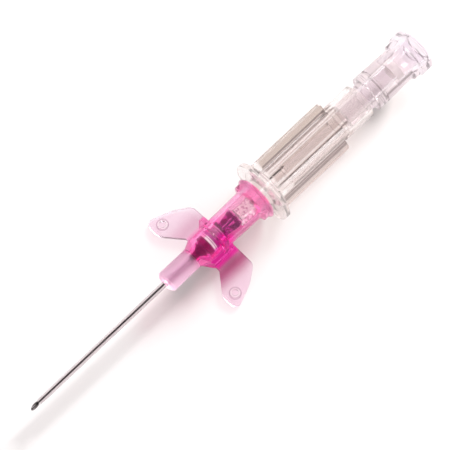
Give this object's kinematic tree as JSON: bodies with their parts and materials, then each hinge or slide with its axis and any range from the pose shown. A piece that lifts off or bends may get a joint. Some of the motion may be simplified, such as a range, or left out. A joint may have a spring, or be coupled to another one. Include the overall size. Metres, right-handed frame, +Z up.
{
  "type": "iv cannula",
  "caption": "Winged safety cannula for a vein: catheter tube on a pink hub with flat wings, steel needle inside, clear finned needle hub and vented flash plug.",
  "frame": {"origin": "centre of the bounding box's bottom, on the table under the closed cannula", "axes": "+X along the needle from its point to the tail, +Z up from the table, +Y to the left wing"},
  "size_m": [0.0878, 0.0204, 0.0096],
  "materials": {
    "needle_steel": "polished",
    "tube_plastic": "translucent",
    "eyelet_steel": "drawn",
    "hub_plastic": "moulded, translucent pink",
    "septum_rubber": "soft translucent",
    "pusher_plastic": "moulded",
    "clip_steel": "spring strip",
    "clear_hub": "clear, moulded",
    "clear_plug": "clear, moulded",
    "vent_fibre": "porous"
  },
  "bodies": {
    "catheter": {"catheter_hub": "hub_plastic", "catheter_tube": "tube_plastic", "tube_eyelet": "eyelet_steel", "valve_septum": "septum_rubber", "valve_pusher": "pusher_plastic", "safety_clip": "clip_steel"},
    "needle_unit": {"needle_hub": "clear_hub", "needle": "needle_steel"},
    "plug_unit": {"flash_plug": "clear_plug", "vent_filter": "vent_fibre"}
  },
  "joints": [
    {"name": "needle_withdrawal", "type": "slide", "parent": "catheter", "child": "needle_unit", "axis": [1, 0, 0], "range_m": [0, 0.056]},
    {"name": "plug_pull", "type": "slide", "parent": "needle_unit", "child": "plug_unit", "axis": [1, 0, 0], "range_m": [0, 0.01]}
  ]
}
